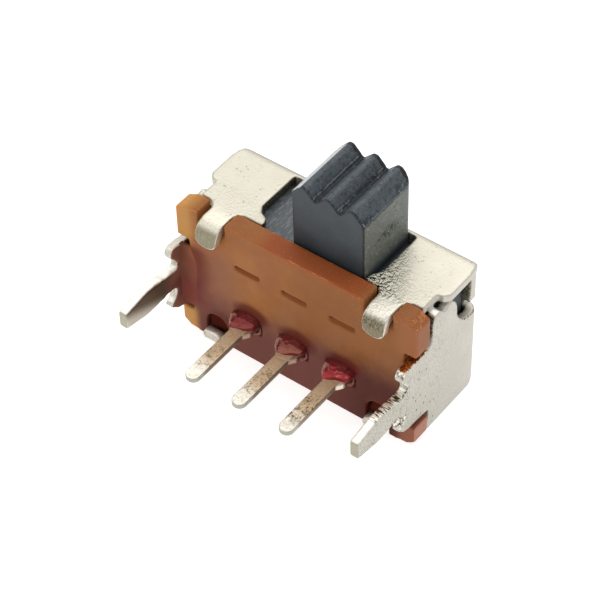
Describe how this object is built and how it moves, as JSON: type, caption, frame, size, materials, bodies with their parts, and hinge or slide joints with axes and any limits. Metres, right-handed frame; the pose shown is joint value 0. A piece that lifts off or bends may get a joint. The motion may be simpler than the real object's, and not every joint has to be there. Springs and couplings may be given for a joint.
{
  "type": "slide switch",
  "caption": "Right-angle slide switch with a folded metal frame, a ridged knob, a terminal board with straight pins and two mounting legs.",
  "frame": {"origin": "centre of the body on the underside of the base plate: x = 0 at the centre terminal, y = 0 at half the body's depth", "axes": "+X along the slide, -Y the way the terminals and legs point, +Z the way the knob stands"},
  "size_m": [0.0129, 0.0091, 0.0108],
  "materials": {
    "frame": "tinned, satin",
    "board": "waxy phenolic board",
    "terminals": "tinned, worn",
    "resin": "cured sealing resin",
    "slider": "moulded, satin",
    "contact": "plated spring strip",
    "spring": "drawn wire",
    "ball": "polished"
  },
  "bodies": {
    "housing": {"frame": "frame", "terminal_board": "board", "terminal_left": "terminals", "terminal_centre": "terminals", "terminal_right": "terminals", "resin_seal_left": "resin", "resin_seal_centre": "resin", "resin_seal_right": "resin"},
    "slide": {"slider": "slider", "moving_contact": "contact", "detent_spring": "spring", "detent_ball": "ball"}
  },
  "joints": [
    {"name": "slider_travel", "type": "slide", "parent": "housing", "child": "slide", "axis": [1, 0, 0], "range_m": [-0.0016, 0]}
  ]
}
